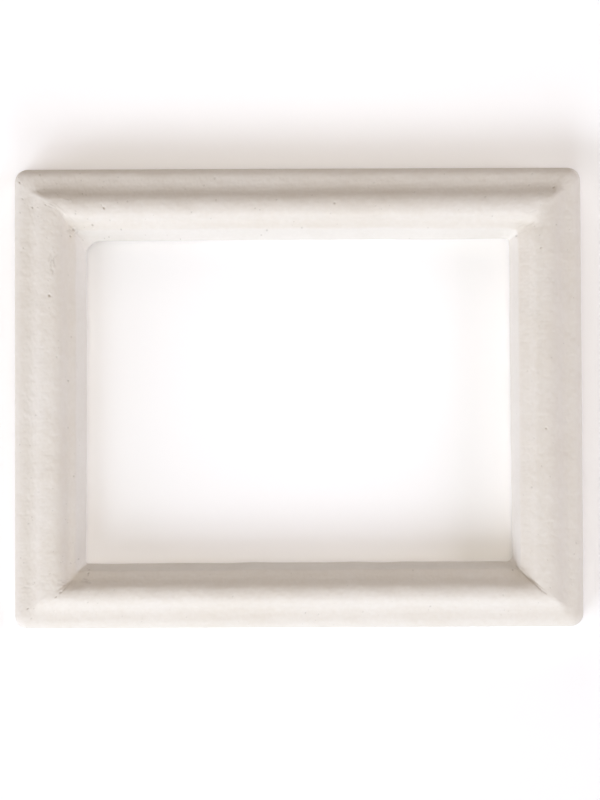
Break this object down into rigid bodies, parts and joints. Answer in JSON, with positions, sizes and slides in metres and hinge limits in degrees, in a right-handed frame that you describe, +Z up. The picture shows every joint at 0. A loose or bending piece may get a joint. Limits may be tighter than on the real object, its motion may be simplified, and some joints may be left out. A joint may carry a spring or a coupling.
{
  "type": "picture frame",
  "caption": "Landscape cast plaster picture frame with a round-crested moulding, a rebate at the back, brass turn buttons and flush keyhole hangers.",
  "frame": {"origin": "middle of the flat bottom edge, at half the frame's thickness", "axes": "+X to the right seen from the front, +Y away from the viewer towards the wall, +Z up"},
  "size_m": [0.257, 0.025, 0.208],
  "materials": {
    "plaster": "matte",
    "brass": "satin",
    "brass_screw": "satin",
    "zinc_plate": "satin",
    "zinc_screw": "satin",
    "nylon": "matte"
  },
  "bodies": {
    "frame": {"plaster_casting": "plaster", "button_screws": "brass_screw", "button_plugs": "nylon", "hanger_plate_left": "zinc_plate", "hanger_plate_right": "zinc_plate", "hanger_screws": "zinc_screw", "hanger_plugs": "nylon"},
    "button_top_left": {"turn_button_top_left": "brass"},
    "button_top_right": {"turn_button_top_right": "brass"},
    "button_bottom_left": {"turn_button_bottom_left": "brass"},
    "button_bottom_right": {"turn_button_bottom_right": "brass"},
    "button_left": {"turn_button_left": "brass"},
    "button_right": {"turn_button_right": "brass"}
  },
  "joints": [
    {"name": "top_left_button_turn", "type": "hinge", "parent": "frame", "child": "button_top_left", "pos_m": [-0.055, 0.01, 0.18875], "axis": [0, 1, 0], "range_deg": [-8, 188]},
    {"name": "top_right_button_turn", "type": "hinge", "parent": "frame", "child": "button_top_right", "pos_m": [0.055, 0.01, 0.18875], "axis": [0, -1, 0], "range_deg": [-8, 188]},
    {"name": "bottom_left_button_turn", "type": "hinge", "parent": "frame", "child": "button_bottom_left", "pos_m": [-0.055, 0.01, 0.01925], "axis": [0, -1, 0], "range_deg": [-8, 188]},
    {"name": "bottom_right_button_turn", "type": "hinge", "parent": "frame", "child": "button_bottom_right", "pos_m": [0.055, 0.01, 0.01925], "axis": [0, 1, 0], "range_deg": [-8, 188]},
    {"name": "left_button_turn", "type": "hinge", "parent": "frame", "child": "button_left", "pos_m": [-0.10925, 0.01, 0.104], "axis": [0, -1, 0], "range_deg": [-8, 188]},
    {"name": "right_button_turn", "type": "hinge", "parent": "frame", "child": "button_right", "pos_m": [0.10925, 0.01, 0.104], "axis": [0, 1, 0], "range_deg": [-8, 188]}
  ]
}
